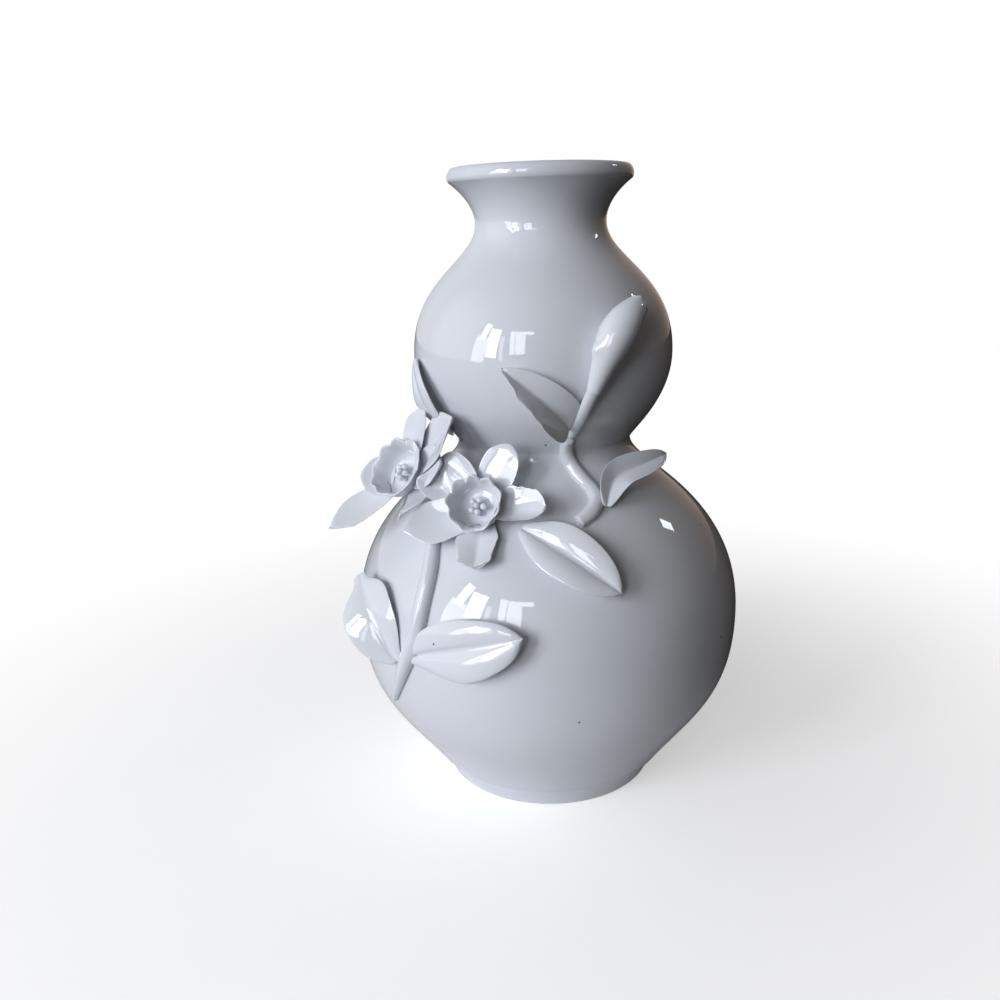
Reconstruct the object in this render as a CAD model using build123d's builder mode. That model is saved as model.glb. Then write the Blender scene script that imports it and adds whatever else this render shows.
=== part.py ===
from build123d import *
from collections import namedtuple
from math import atan2, cos, degrees, radians, sin
import os

# Double gourd vase in white glazed porcelain. Two bulbs are joined at a narrow waist, and two
# daffodils, a bud, leaves and stems are modelled by hand and luted onto the front and left side.
# Millimetres. The origin is the middle of the face that the foot stands on, +Z is up and the
# front faces -Y. Places on the wall are degrees round from the front, positive towards +X.

# Foot ring: it stands back from the body by a small step, then tapers inwards to the table
body_foot_radius = 40.2
foot_step = 0.8
foot_taper = 3.7
foot_height = 7.5
foot_ring_width = 4.6
foot_recess_depth = 4.0
foot_rounding = 0.8

# Side line of the vessel above the foot: outer radii, and the rise from each level to the next
belly_radius = 63.8
waist_radius = 28.1
bulb_radius = 41.2
neck_radius = 20.4
lip_radius = 28.1
lip_crest_radius = 26.8
belly_rise = 51.3
waist_rise = 57.4
bulb_rise = 27.7
neck_rise = 39.7
lip_rise = 12.1
lip_height = 4.3
body_foot_angle = 34.0
lip_flare_angle = 54.0

# How straight the side line runs at each level, as shares of the rise below and above it
foot_reach_share = 0.49
belly_reach_shares = (0.50, 0.655)
waist_reach_shares = (0.183, 0.08)
bulb_reach_shares = (0.563, 0.605)
neck_reach_shares = (0.277, 0.471)
lip_reach_share = 0.27

# Wall and inside
wall = 3.5
base_thickness = 5.0
floor_rounding = 6.0
lip_inner_reach = 2.4
inner_lip_reach_share = 0.60

# Leaves: a strip folded along its midrib, both wings arched, thinner at the edges
leaf_half_width = 9.0
leaf_thickness = 2.0
leaf_edge = 1.0
leaf_stand = 10.0
leaf_outline_shares = (
    (0.0, 0.24), (0.24, 0.82), (0.5, 1.0), (0.76, 0.78), (0.94, 0.34), (1.0, 0.10),
)

# Stems: oval coils of clay, pressed down on the wall
stem_radius = 2.7
curved_stem_radius = 1.9
stem_flat_share = 0.8

# Bud
bud_radius = 5.2

# Flowers
petal_half_width = 7.0
petal_thickness = 1.6
petal_edge = 0.9
petal_outline_shares = ((0.0, 0.36), (0.32, 0.82), (0.62, 1.0), (0.87, 0.80), (1.0, 0.32))
petal_reach = 20.0
petal_level = 1.5
cup_depth = 9.5
front_cup_rim_radius = 8.0
side_cup_rim_radius = 9.0
cup_foot_radius = 3.4
cup_wall = 1.2
cup_floor = 2.4
cup_turn_angle = -50
scallop_count = 9
scallop_radius = 1.25
front_foot_length = 8.0
side_foot_length = 16.0
front_flower_stand = 0.5
side_flower_stand = 8.0
pistil_radius = 0.9
pistil_length = 4.4
pistil_round_share = 0.8
stamen_radius = 0.5
anther_radius = 0.95
stamen_length = 2.6
stamen_circle = 1.9
stamen_count = 5

Leaf = namedtuple("Leaf", "name places left_share right_share fold_share crown_share roll")
Petal = namedtuple(
    "Petal", "turn level_share reach_share tip_share left_share right_share fold_share"
)

# Places of leaves: degrees round, share of the way up (0 table, 1 waist, 2 neck), share of
# leaf_stand off the glaze. Wings are shares of leaf_half_width, seen going from base to tip.
leaf_shares = (
    Leaf(
        "right_leaf",
        ((-39.5, 0.520, 0.06), (-21.8, 0.580, 0.18), (-5.6, 0.622, 0.75)),
        1.0, 1.06, 0.16, 0.10, 0,
    ),
    Leaf(
        "left_leaf",
        ((-45.2, 0.489, 0.06), (-52.2, 0.589, 0.35), (-63.3, 0.665, 0.50)),
        1.0, 0.90, 0.28, 0.10, 28,
    ),
    Leaf(
        "lower_leaf",
        ((-8.4, 0.842, 0.05), (6.7, 0.785, 0.20), (19.6, 0.700, 0.40)),
        0.86, 0.90, 0.15, 0.10, 0,
    ),
    Leaf(
        "upper_leaf",
        ((11.6, 1.150, 0.05), (-1.0, 1.290, 0.20), (-14.6, 1.420, 0.40)),
        0.38, 0.82, 0.30, 0.08, 0,
    ),
    Leaf(
        "shoulder_leaf",
        ((25.7, 0.876, 0.06), (33.8, 0.916, 0.30), (44.0, 0.921, 0.50), (63.3, 0.914, 1.00)),
        0.42, 0.58, 0.30, 0.08, 0,
    ),
    Leaf(
        "back_leaf",
        ((-62.0, 1.080, 0.10), (-58.0, 1.270, 0.30), (-68.0, 1.420, 0.09)),
        0.70, 0.70, 0.10, 0.10, 0,
    ),
)

# Stems: centre line as degrees round and share of the way up, with the share of the radius there
main_stem_shares = (
    (-41.0, 0.800, 0.85), (-36.9, 0.732, 0.95), (-36.5, 0.658, 1.0), (-37.4, 0.580, 0.98),
    (-40.7, 0.509, 0.9), (-44.6, 0.438, 0.65), (-51.0, 0.355, 0.4),
)
curved_stem_shares = (
    (12.8, 1.085, 0.95), (13.0, 1.030, 1.0), (15.5, 0.981, 0.95), (20.0, 0.939, 0.95),
    (23.0, 0.913, 1.0), (22.5, 0.889, 1.0), (18.0, 0.868, 1.0), (12.5, 0.853, 0.9),
)
bud_stem_shares = (
    (13.2, 1.098, 1.05), (15.6, 1.170, 0.95), (17.4, 1.240, 0.9), (19.4, 1.320, 0.95),
)

# Bud: degrees round, share of the way up, share of leaf_stand off the glaze, share of bud_radius
bud_shares = (
    (19.2, 1.314, 0.24, 0.34), (22.6, 1.438, 0.38, 0.66), (26.9, 1.525, 0.48, 0.98),
    (32.5, 1.584, 0.56, 0.86), (39.3, 1.625, 0.60, 0.50),
)

# Petals: degrees round the flower's own axis, level at the cup as a share of petal_level, tip
# distance and tip height as shares of petal_reach, half widths as shares of petal_half_width
front_petal_shares = (
    Petal(66, 1, 1.02, 0.375, 0.80, 0.80, 0.20),
    Petal(134, 2, 0.98, 0.455, 0.95, 0.90, 0.14),
    Petal(160, 1, 1.04, 0.315, 0.55, 0.55, 0.20),
    Petal(-157, 2, 1.16, 0.295, 0.90, 0.75, 0.16),
    Petal(-82, 1, 0.96, 0.375, 0.86, 0.86, 0.30),
    Petal(-1, 2, 1.03, 0.275, 0.95, 0.62, 0.26),
)
side_petal_shares = (
    Petal(-121, 2, 1.42, 0.62, 0.80, 0.85, 0.24),
    Petal(-42, 1, 0.94, 0.42, 1.00, 1.00, -0.30),
    Petal(25, 2, 0.86, 0.46, 1.00, 1.00, 0.20),
    Petal(48, 1, 1.38, 0.27, 0.95, 0.95, 0.16),
    Petal(92, 2, 1.00, 0.37, 0.80, 0.80, 0.14),
    Petal(-160, 1, 0.76, 0.46, 0.95, 0.95, 0.16),
)

# Flowers: degrees round and share of the way up of the petals' level, and which way each faces
front_flower_place = (-26.5, 0.872)
front_flower_facing = (-14.0, 33.0)
side_flower_place = (-62.5, 0.878)
side_flower_facing = (-48.0, 30.0)

# Foot radii, and levels worked out from the rises
foot_top_radius = body_foot_radius - foot_step
foot_radius = foot_top_radius - foot_taper
belly_height = foot_height + belly_rise
waist_height = belly_height + waist_rise
bulb_height = waist_height + bulb_rise
neck_height = bulb_height + neck_rise
lip_under_height = neck_height + lip_rise
vase_height = lip_under_height + lip_height
floor_height = foot_recess_depth + base_thickness


def upright_span(low_radius, low_height, low_share, high_radius, high_height, high_share):
    """control points of a side curve that leaves and arrives straight up"""
    rise = high_height - low_height
    return (
        (low_radius, low_height),
        (low_radius, low_height + low_share * rise),
        (high_radius, high_height - high_share * rise),
        (high_radius, high_height),
    )


def foot_span():
    """the side from the foot ring up to the belly, leaving the ring at its own slope"""
    reach = foot_reach_share * belly_rise
    slope = radians(body_foot_angle)
    return (
        (body_foot_radius, foot_height),
        (body_foot_radius + reach * sin(slope), foot_height + reach * cos(slope)),
        (belly_radius, belly_height - belly_reach_shares[0] * belly_rise),
        (belly_radius, belly_height),
    )


def lip_span():
    """the side from the neck out to the underside of the lip"""
    reach = lip_reach_share * lip_rise
    slope = radians(lip_flare_angle)
    return (
        (neck_radius, neck_height),
        (neck_radius, neck_height + neck_reach_shares[1] * lip_rise),
        (lip_radius - reach * sin(slope), lip_under_height - reach * cos(slope)),
        (lip_radius, lip_under_height),
    )


lower_spans = (
    foot_span(),
    upright_span(
        belly_radius, belly_height, belly_reach_shares[1], waist_radius, waist_height, waist_reach_shares[0]
    ),
)
upper_spans = (
    upright_span(
        waist_radius, waist_height, waist_reach_shares[1], bulb_radius, bulb_height, bulb_reach_shares[0]
    ),
    upright_span(
        bulb_radius, bulb_height, bulb_reach_shares[1], neck_radius, neck_height, neck_reach_shares[0]
    ),
    lip_span(),
)


def inside_of(span):
    """the inner side curve, one wall in from the outer one, from its top end down"""
    points = [Vector(radius, height) for radius, height in span]
    legs = [(end - start).normalized() for start, end in zip(points, points[1:])]
    inwards = [Vector(-leg.Y, leg.X) for leg in legs]
    inner = []
    for point, before, after in zip(points, inwards[:1] + inwards, inwards + inwards[-1:]):
        inner.append(point + (before + after) * (wall / (1 + before.dot(after))))
    return [(point.X, point.Y) for point in reversed(inner)]


def point_on_span(span, share):
    """radius and height at a share of the way along a side curve"""
    rest = 1 - share
    weights = (rest**3, 3 * rest**2 * share, 3 * rest * share**2, share**3)
    return [sum(weight * point[axis] for weight, point in zip(weights, span)) for axis in (0, 1)]


def wall_radius(height):
    """outer radius of the vessel at a height above the foot ring"""
    spans = lower_spans + upper_spans
    span = next((span for span in spans if height <= span[3][1]), spans[-1])
    low, high = 0.0, 1.0
    for _ in range(30):
        middle = (low + high) / 2
        if point_on_span(span, middle)[1] < height:
            low = middle
        else:
            high = middle
    return point_on_span(span, low)[0]


def wall_normal(azimuth, height):
    """direction straight out of the glaze"""
    step = wall / 10
    slope = (wall_radius(height + step) - wall_radius(height - step)) / (2 * step)
    return Vector(sin(radians(azimuth)), -cos(radians(azimuth)), -slope).normalized()


def on_wall(azimuth, rise_share, stand=0.0):
    """a point over the glaze: degrees round, share of the way up, distance off the glaze"""
    if rise_share <= 1:
        height = rise_share * waist_height
    else:
        height = waist_height + (rise_share - 1) * (neck_height - waist_height)
    radius = wall_radius(height)
    foot = Vector(radius * sin(radians(azimuth)), -radius * cos(radians(azimuth)), height)
    return foot + wall_normal(azimuth, height) * stand


def off_the_glaze(point):
    """direction straight out of the glaze below a point"""
    return wall_normal(degrees(atan2(point.X, -point.Y)), point.Z)


def station(spine, share, facing, roll=0):
    """plane across a spine, its x to the right of the way travelled and its y facing outwards"""
    point = spine @ share
    along = spine % share
    across = along.cross(facing(point)).rotate(Axis((0, 0, 0), along), roll)
    return Plane(point, x_dir=across, z_dir=-along)


def folded_section(left, right, fold, crown, middle, edge):
    """cross section of a leaf or petal: two arched wings that rise from a crease"""
    arch = fold / 2 + crown
    half = (middle + edge) / 4
    with BuildSketch() as section:
        with BuildLine():
            ThreePointArc((-left, fold + edge / 2), (-left / 2, arch + half), (0, middle / 2))
            ThreePointArc((0, middle / 2), (right / 2, arch + half), (right, fold + edge / 2))
            Line((right, fold + edge / 2), (right, fold - edge / 2))
            ThreePointArc((right, fold - edge / 2), (right / 2, arch - half), (0, -middle / 2))
            ThreePointArc((0, -middle / 2), (-left / 2, arch - half), (-left, fold - edge / 2))
            Line((-left, fold - edge / 2), (-left, fold + edge / 2))
        make_face()
    return section.sketch


def blade(spine, facing, left, right, fold, crown, middle, edge, outline_shares, roll=0):
    """a leaf or petal: folded sections carried along a spine and widened to its outline"""
    with BuildPart() as form:
        for along_share, width_share in outline_shares:
            sizes = [size * width_share for size in (left, right, fold, crown)]
            with BuildSketch(station(spine, along_share, facing, roll)):
                add(folded_section(*sizes, middle, edge))
        loft()
    return form.part


def coil(points, radii, flat_share):
    """a rolled coil of clay: oval sections carried along the points"""
    spine = Spline(*points)
    with BuildPart() as form:
        for number, radius in enumerate(radii):
            with BuildSketch(station(spine, spine.param_at_point(points[number]), off_the_glaze)):
                Ellipse(radius, radius * flat_share)
        loft()
    return form.part


def pressed_on(form, *carriers):
    """what is left of a soft piece when it is pressed against the pieces that carry it"""
    box = form.bounding_box(optimal=False)
    with BuildPart() as pressed:
        add(form)
        for carrier in carriers:
            if box.overlaps(carrier.bounding_box(optimal=False)):
                add(carrier, mode=Mode.SUBTRACT)
    return pressed.solids().sort_by(SortBy.VOLUME)[-1]


def filled_form(spans):
    """a bulb without its hollow, which the applied pieces are pressed against"""
    foot, top = spans[0][0], spans[-1][3]
    with BuildPart() as form:
        with BuildSketch(Plane.XZ):
            with BuildLine():
                Line((0, foot[1]), foot)
                for span in spans:
                    Bezier(*span)
                Line(top, (0, top[1]))
                Line((0, top[1]), (0, foot[1]))
            make_face()
        revolve(axis=Axis.Z)
    return form.part


bulb_forms = (filled_form(lower_spans), filled_form(upper_spans))


# Lower bulb with its foot ring, open at the waist
floor_corner = inside_of(lower_spans[0])[-1]
with BuildPart() as lower_bulb:
    with BuildSketch(Plane.XZ):
        with BuildLine():
            Line((0, foot_recess_depth), (foot_radius - foot_ring_width, foot_recess_depth))
            Line((foot_radius - foot_ring_width, foot_recess_depth), (foot_radius - foot_ring_width, 0))
            Line((foot_radius - foot_ring_width, 0), (foot_radius, 0))
            Line((foot_radius, 0), (foot_top_radius, foot_height))
            Line((foot_top_radius, foot_height), (body_foot_radius, foot_height))
            for span in lower_spans:
                Bezier(*span)
            Line((waist_radius, waist_height), (waist_radius - wall, waist_height))
            for span in reversed(lower_spans):
                Bezier(*inside_of(span))
            Line(floor_corner, (0, floor_height))
            Line((0, floor_height), (0, foot_recess_depth))
        make_face()
    revolve(axis=Axis.Z)
    round_edges = lower_bulb.edges().filter_by(GeomType.CIRCLE)
    fillet(round_edges.sort_by_distance((floor_corner[0], 0, floor_corner[1]))[0], radius=floor_rounding)
    standing_edges = lower_bulb.edges().filter_by(GeomType.CIRCLE).group_by(Axis.Z)[0]
    fillet(standing_edges, radius=foot_rounding)
lower_bulb.part.label = "lower_bulb"


# Upper bulb with the neck and the rolled lip, luted on the lower bulb at the waist
with BuildPart() as upper_bulb:
    with BuildSketch(Plane.XZ):
        with BuildLine():
            for span in upper_spans:
                Bezier(*span)
            TangentArc(
                (lip_radius, lip_under_height),
                (lip_crest_radius, vase_height),
                tangent=(sin(radians(lip_flare_angle)), cos(radians(lip_flare_angle))),
            )
            Bezier(
                (lip_crest_radius, vase_height),
                (lip_crest_radius - lip_inner_reach, vase_height),
                (neck_radius - wall, neck_height + inner_lip_reach_share * lip_rise),
                (neck_radius - wall, neck_height),
            )
            for span in (upper_spans[1], upper_spans[0]):
                Bezier(*inside_of(span))
            Line((waist_radius - wall, waist_height), (waist_radius, waist_height))
        make_face()
    revolve(axis=Axis.Z)
upper_bulb.part.label = "upper_bulb"


def stem_form(shares, radius):
    """a stem on the wall, from its table of places and radii"""
    stand = radius * stem_flat_share / 3
    points = [on_wall(azimuth, rise_share, stand) for azimuth, rise_share, _ in shares]
    return coil(points, [radius * share for _, _, share in shares], stem_flat_share)


with BuildPart() as main_stem:
    add(pressed_on(stem_form(main_stem_shares, stem_radius), *bulb_forms))
main_stem.part.label = "main_stem"

with BuildPart() as curved_stem:
    add(pressed_on(stem_form(curved_stem_shares, curved_stem_radius), *bulb_forms))
curved_stem.part.label = "curved_stem"

with BuildPart() as bud_stem:
    add(pressed_on(stem_form(bud_stem_shares, curved_stem_radius), *bulb_forms, curved_stem.part))
bud_stem.part.label = "bud_stem"

# Closed bud at the end of its stem, leaning against the upper bulb
bud_points = [on_wall(row[0], row[1], row[2] * leaf_stand) for row in bud_shares]
bud_radii = [row[3] * bud_radius for row in bud_shares]
with BuildPart() as bud:
    add(pressed_on(coil(bud_points, bud_radii, 1), *bulb_forms, bud_stem.part))
bud.part.label = "bud"


def leaf_form(leaf):
    """a leaf on the wall, from its row in the table"""
    points = [on_wall(place[0], place[1], place[2] * leaf_stand) for place in leaf.places]
    spine = Spline(*points)
    return blade(
        spine,
        off_the_glaze,
        leaf.left_share * leaf_half_width,
        leaf.right_share * leaf_half_width,
        leaf.fold_share * leaf_half_width,
        leaf.crown_share * leaf_half_width,
        leaf_thickness,
        leaf_edge,
        leaf_outline_shares,
        leaf.roll,
    )


stems = [main_stem.part, curved_stem.part, bud_stem.part]
finished = [lower_bulb.part, upper_bulb.part, bud.part] + stems
leaves = []
for leaf in leaf_shares:
    with BuildPart() as applied_leaf:
        add(pressed_on(leaf_form(leaf), *bulb_forms, *stems, *leaves))
    applied_leaf.part.label = leaf.name
    leaves.append(applied_leaf.part)


def flower_plane(place, stand, facing):
    """the level that a flower's petals spring from, its z along the flower's axis"""
    azimuth, elevation = (radians(angle) for angle in facing)
    axis = Vector(sin(azimuth) * cos(elevation), -cos(azimuth) * cos(elevation), sin(elevation))
    sideways = Vector(cos(azimuth), sin(azimuth), 0)
    return Plane(on_wall(*place, stand), x_dir=sideways, z_dir=axis)


def cup_form(plane, foot_length, rim_radius):
    """a trumpet with a scalloped rim, on a foot that reaches into the wall"""
    with BuildPart() as form:
        with BuildSketch(Plane.XZ):
            with BuildLine():
                Line((0, -foot_length), (cup_foot_radius, -foot_length))
                Line((cup_foot_radius, -foot_length), (cup_foot_radius, 0))
                Bezier(
                    (cup_foot_radius, 0),
                    (rim_radius, cup_depth / 5),
                    (rim_radius - cup_wall, cup_depth * 3 / 5),
                    (rim_radius, cup_depth),
                )
                Line((rim_radius, cup_depth), (rim_radius - cup_wall, cup_depth))
                Bezier(
                    (rim_radius - cup_wall, cup_depth),
                    (rim_radius - 2 * cup_wall, cup_depth * 3 / 5),
                    (rim_radius - cup_wall, cup_floor),
                    (cup_foot_radius, cup_floor),
                )
                Line((cup_foot_radius, cup_floor), (0, cup_floor))
                Line((0, cup_floor), (0, -foot_length))
            make_face()
        revolve(axis=Axis.Z)
        with Locations((0, 0, cup_depth)):
            with PolarLocations(0, scallop_count):
                Cylinder(
                    scallop_radius,
                    rim_radius + cup_wall,
                    rotation=(0, 90, 0),
                    align=(Align.CENTER, Align.CENTER, Align.MIN),
                    mode=Mode.SUBTRACT,
                )
    return form.part.rotate(Axis.Z, cup_turn_angle).moved(plane.location)


def petal_form(plane, petal):
    """a petal from its row in the table, springing from the cup's foot"""
    turn = radians(petal.turn)
    level = petal.level_share * petal_level
    reach = petal.reach_share * petal_reach
    path = ((0, level), (reach / 2, level), (reach, petal.tip_share * petal_reach))
    places = [Vector(out * cos(turn), out * sin(turn), up) for out, up in path]
    return blade(
        Bezier(*[plane.from_local_coords(place) for place in places]),
        lambda point: plane.z_dir,
        petal.left_share * petal_half_width,
        petal.right_share * petal_half_width,
        petal.fold_share * petal_half_width,
        petal_edge / 2,
        petal_thickness,
        petal_edge,
        petal_outline_shares,
    )


def pistil_form(plane):
    """the style in the middle of the cup, a stalk with a rounded head"""
    with BuildPart(plane.offset(cup_floor)) as form:
        Cylinder(pistil_radius, pistil_length, align=(Align.CENTER, Align.CENTER, Align.MIN))
        top_edge = form.edges().sort_by(Axis(plane.origin, plane.z_dir))[-1]
        fillet(top_edge, radius=pistil_radius * pistil_round_share)
    return form.part


def stamens_form(plane):
    """stamens round the pistil: thin stalks with round anthers, standing on one flat ring"""
    standing = (Align.CENTER, Align.CENTER, Align.MIN)
    with BuildPart(plane.offset(cup_floor)) as form:
        Cylinder(stamen_circle + anther_radius, stamen_radius, align=standing)
        Cylinder(pistil_radius, stamen_radius, align=standing, mode=Mode.SUBTRACT)
        with PolarLocations(stamen_circle, stamen_count):
            Cylinder(stamen_radius, stamen_length, align=standing)
        with PolarLocations(stamen_circle, stamen_count):
            with Locations((0, 0, stamen_length)):
                Sphere(anther_radius)
    return form.part


flowers = (
    ("front", flower_plane(front_flower_place, front_flower_stand, front_flower_facing)),
    ("side", flower_plane(side_flower_place, side_flower_stand, side_flower_facing)),
)
foot_lengths = {"front": front_foot_length, "side": side_foot_length}
rim_radii = {"front": front_cup_rim_radius, "side": side_cup_rim_radius}
petal_shares = {"front": front_petal_shares, "side": side_petal_shares}
flower_pieces = []
for side, plane in flowers:
    with BuildPart() as cup:
        form = cup_form(plane, foot_lengths[side], rim_radii[side])
        add(pressed_on(form, *bulb_forms, *stems, *leaves, *flower_pieces))
    cup.part.label = side + "_cup"

    with BuildPart() as pistil:
        add(pistil_form(plane))
    pistil.part.label = side + "_pistil"

    with BuildPart() as stamens:
        add(stamens_form(plane))
    stamens.part.label = side + "_stamens"

    flower_pieces.append(cup.part)
    for number, petal in enumerate(petal_shares[side], start=1):
        form = petal_form(plane, petal)
        with BuildPart() as pressed_petal:
            add(pressed_on(form, *bulb_forms, *stems, *leaves, *flower_pieces))
        pressed_petal.part.label = f"{side}_petal_{number}"
        flower_pieces.append(pressed_petal.part)
    finished += [pistil.part, stamens.part]

finished += leaves + flower_pieces
os.makedirs("parts", exist_ok=True)
for piece in finished:
    export_step(piece, f"parts/{piece.label}.step")
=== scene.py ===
import math

import bpy
import numpy as np
from mathutils import Matrix


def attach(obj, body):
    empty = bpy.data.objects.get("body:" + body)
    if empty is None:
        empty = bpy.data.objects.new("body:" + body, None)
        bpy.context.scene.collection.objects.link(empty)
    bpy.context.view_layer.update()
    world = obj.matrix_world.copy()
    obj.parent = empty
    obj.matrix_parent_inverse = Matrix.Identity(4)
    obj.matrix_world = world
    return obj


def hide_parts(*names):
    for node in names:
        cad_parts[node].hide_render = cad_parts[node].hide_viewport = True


# Double gourd vase in white glazed porcelain with daffodils, a bud, leaves and stems put on by hand.
# Lengths are millimetres on the real vase until addMesh makes them metres. The vessel's axis is Z and
# the front faces -Y. Places on the wall are degrees round from the front, positive towards +X, and a
# share of the way up: 0 at the table, 1 at the waist, 2 at the neck.

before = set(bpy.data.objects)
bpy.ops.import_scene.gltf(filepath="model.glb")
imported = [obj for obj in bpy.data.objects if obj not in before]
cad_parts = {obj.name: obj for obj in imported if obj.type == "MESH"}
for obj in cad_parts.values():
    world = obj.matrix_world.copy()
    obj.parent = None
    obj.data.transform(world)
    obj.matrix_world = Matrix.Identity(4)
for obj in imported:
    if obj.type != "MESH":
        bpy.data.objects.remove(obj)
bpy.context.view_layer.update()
pieces = []
millimetre = 0.001
print("frame loaded:", len(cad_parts), "pieces")


# vectors divided by their own lengths
def unit(vectors):
    return vectors / np.maximum(np.linalg.norm(vectors, axis=-1, keepdims=True), 1e-9)


# cubic Bezier curve: four control points weighted by their Bernstein shares, at count even steps
def bezier(points, count):
    t = np.linspace(0, 1, count)[:, None]
    p = np.asarray(points, float)
    return (1 - t) ** 3 * p[0] + 3 * (1 - t) ** 2 * t * p[1] + 3 * (1 - t) * t**2 * p[2] + t**3 * p[3]


# arc of a circle about a middle point: middle plus radius times cosine and sine, from start to end in degrees
def arc(middle, radius, start, end, count):
    angle = np.radians(np.linspace(start, end, count))
    return np.stack([middle[0] + radius * np.cos(angle), middle[1] + radius * np.sin(angle)], -1)


# natural cubic spline: second slopes from the tridiagonal equations, then cubic pieces
def splineAt(knots, values, places):
    knots, values = np.asarray(knots, float), np.asarray(values, float)
    values = values.reshape(len(knots), -1)
    steps = np.diff(knots)[:, None]
    size = len(knots)
    system = np.eye(size)
    right = np.zeros_like(values)
    inner = np.arange(1, size - 1)
    system[inner, inner - 1] = steps[:-1, 0]
    system[inner, inner] = 2 * (steps[:-1, 0] + steps[1:, 0])
    system[inner, inner + 1] = steps[1:, 0]
    slopes = np.diff(values, axis=0) / steps
    right[inner] = 6 * np.diff(slopes, axis=0)
    curve = np.linalg.solve(system, right)
    piece = np.clip(np.searchsorted(knots, places, side="right") - 1, 0, size - 2)
    step, t = steps[piece], (places - knots[piece])[:, None]
    rest = step - t
    return (
        curve[piece] * rest**3 / (6 * step)
        + curve[piece + 1] * t**3 / (6 * step)
        + (values[piece] / step - curve[piece] * step / 6) * rest
        + (values[piece + 1] / step - curve[piece + 1] * step / 6) * t
    )


# places along a piece from 0 to 1, closer together towards both ends: half of one minus a cosine
def alongPiece(count):
    return 0.5 - 0.5 * np.cos(np.linspace(0, math.pi, count))


# smooth curve through points, a spline over the chord length; gives the points and the knots
def smoothPath(points, places):
    points = np.asarray(points, float)
    chord = np.concatenate([[0], np.cumsum(np.linalg.norm(np.diff(points, axis=0), axis=1))])
    return splineAt(chord / chord[-1], points, places), chord / chord[-1]


# length of a path: the sum of its steps
def pathLength(path):
    return np.linalg.norm(np.diff(path, axis=0), axis=1).sum()


# closed mesh from a grid of points: rows run along the piece, columns go round it, and each end is a fan
# on the mean of its row. The signed volume tells which way the faces point, and they are turned if inwards.
def addMesh(name, grid, *nodes):
    rows, columns = grid.shape[:2]
    row, column = np.meshgrid(np.arange(rows - 1), np.arange(columns), indexing="ij")
    beside = (column + 1) % columns
    quads = np.stack(
        [row * columns + column, row * columns + beside, (row + 1) * columns + beside, (row + 1) * columns + column],
        -1,
    ).reshape(-1, 4)
    ring = np.arange(columns)
    following = (ring + 1) % columns
    last = (rows - 1) * columns
    points = np.vstack([grid.reshape(-1, 3), grid[0].mean(0), grid[-1].mean(0)])
    low = np.stack([following, ring, np.full(columns, rows * columns)], -1)
    high = np.stack([last + ring, last + following, np.full(columns, rows * columns + 1)], -1)
    triangles = np.vstack([quads[:, [0, 1, 2]], quads[:, [0, 2, 3]], low, high])
    a, b, c = (points[triangles[:, index]] for index in range(3))
    if np.einsum("ij,ij->i", a, np.cross(b, c)).sum() < 0:
        quads, low, high = quads[:, ::-1], low[:, ::-1], high[:, ::-1]
    mesh = bpy.data.meshes.new(name)
    mesh.from_pydata((points * millimetre).tolist(), [], quads.tolist() + low.tolist() + high.tolist())
    mesh.polygons.foreach_set("use_smooth", np.ones(len(mesh.polygons), bool))
    mesh.update()
    piece = bpy.data.objects.new(name, mesh)
    bpy.context.scene.collection.objects.link(piece)
    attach(piece, "root")
    if nodes:
        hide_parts(*nodes)
    pieces.append(piece)


# surface of revolution: the side line turned round the axis, its radius times cosine and sine of the turn
def lathe(profile, turns):
    turn = np.linspace(0, 2 * np.pi, turns, endpoint=False)
    rings = [profile[:, :1] * np.cos(turn), profile[:, :1] * np.sin(turn), np.repeat(profile[:, 1:], turns, 1)]
    return np.stack(rings, -1)


# radii and levels of the side, and how straight it runs below and above each level as shares of the rise; the
# lip's top with how far it rolls out and reaches into the neck; the foot ring with the places up its outer
# flank; the floor inside; and how finely each stretch is drawn
vessel = {
    "radii": {"foot": 40.2, "belly": 63.78, "waist": 28.1, "bulb": 41.2, "neck": 20.4, "lip": 28.1},
    "levels": {"foot": 7.5, "belly": 58.8, "waist": 116.2, "bulb": 143.9, "neck": 183.6, "lip": 195.7},
    "straight": {
        "foot": (0.0, 0.49), "belly": (0.50, 0.655), "waist": (0.183, 0.08),
        "bulb": (0.563, 0.605), "neck": (0.277, 0.471), "lip": (0.27, 0.0),
    },
    "footAngle": 34.0, "lipAngle": 54.0,
    "lipTop": {
        "radius": 26.8, "level": 200.0, "roll": (1.25, 0.9), "bulge": 1.5, "innerReach": 2.4, "innerShare": 0.60,
    },
    "footRing": {
        "radius": 35.7, "width": 4.6, "recess": 4.0, "rounding": 0.8, "inner": 0.6,
        "flank": ((37.4, 3.75), (39.1, 6.6), (39.4, 7.15)),
    },
    "wall": 3.5, "floorLevel": 9.0, "floorRounding": 3.2, "floorPull": 0.6, "floorRise": 0.2, "pole": 0.5,
    "turns": 240, "steps": {"fine": 500, "outside": 44, "lip": 16, "mouth": 18, "inside": 26, "floor": 9},
}


# control points of the side's stretches from the foot ring up to the underside of the lip; each leaves and
# arrives straight up, but for the slopes at the foot and the lip
def sideSpans():
    radii, levels, straight = vessel["radii"], vessel["levels"], vessel["straight"]
    order = list(radii)
    spans = []
    for low, high in zip(order, order[1:]):
        rise = levels[high] - levels[low]
        leaving = math.radians(vessel["footAngle"] if low == "foot" else 0)
        arriving = math.radians(vessel["lipAngle"] if high == "lip" else 0)
        start, end = np.array([radii[low], levels[low]]), np.array([radii[high], levels[high]])
        out = straight[low][1] * rise * np.array([math.sin(leaving), math.cos(leaving)])
        back = straight[high][0] * rise * np.array([math.sin(arriving), math.cos(arriving)])
        spans.append(np.array([start, start + out, end - back, end]))
    return spans


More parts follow.
